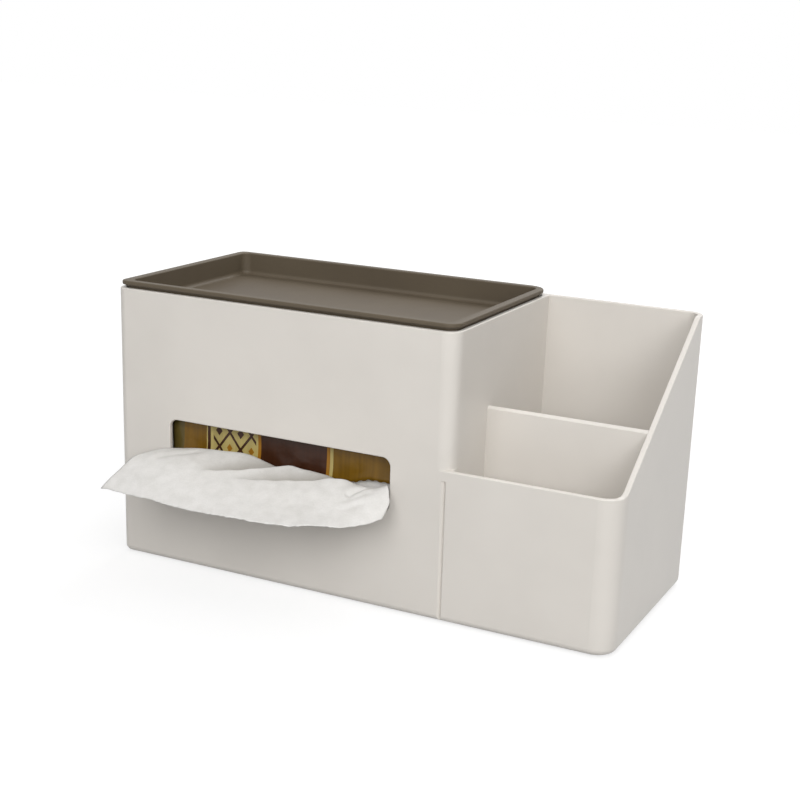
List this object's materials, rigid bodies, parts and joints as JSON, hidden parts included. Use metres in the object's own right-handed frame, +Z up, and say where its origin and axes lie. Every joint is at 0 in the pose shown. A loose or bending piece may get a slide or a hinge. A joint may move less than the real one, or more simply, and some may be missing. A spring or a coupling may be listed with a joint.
{
  "type": "desk organizer with tissue box",
  "caption": "White moulded desk organizer: tall tissue tub with front slot and lift-off tray lid, beside a lower sloping pen tub with a divider; soft tissue pack inside with a sheet drawn out.",
  "frame": {"origin": "centre of the whole footprint, the drawn sheet included, at desk level", "axes": "+X along the front from the tissue tub to the pen tub, +Y from the slot towards the back, +Z up"},
  "size_m": [0.249, 0.1482, 0.1333],
  "materials": {
    "white_plastic": "satin, fine moulded texture",
    "taupe_plastic": "satin",
    "pad_rubber": "matte",
    "printed_film": "glossy, soft",
    "tissue_paper": "matte, soft"
  },
  "bodies": {
    "organizer": {"body_shell": "white_plastic", "pad_front_left": "pad_rubber", "pad_front_right": "pad_rubber", "pad_rear_left": "pad_rubber", "pad_rear_right": "pad_rubber", "pack_film": "printed_film", "tissue_stack": "tissue_paper"},
    "lid": {"tray_lid": "taupe_plastic"},
    "sheet": {"pulled_tissue": "tissue_paper"}
  },
  "joints": [
    {"name": "tray_lift", "type": "slide", "parent": "organizer", "child": "lid", "axis": [0, 0, 1], "range_m": [0, 0.08]},
    {"name": "tissue_pull", "type": "slide", "parent": "organizer", "child": "sheet", "axis": [0, -1, 0], "range_m": [0, 0.09]}
  ]
}
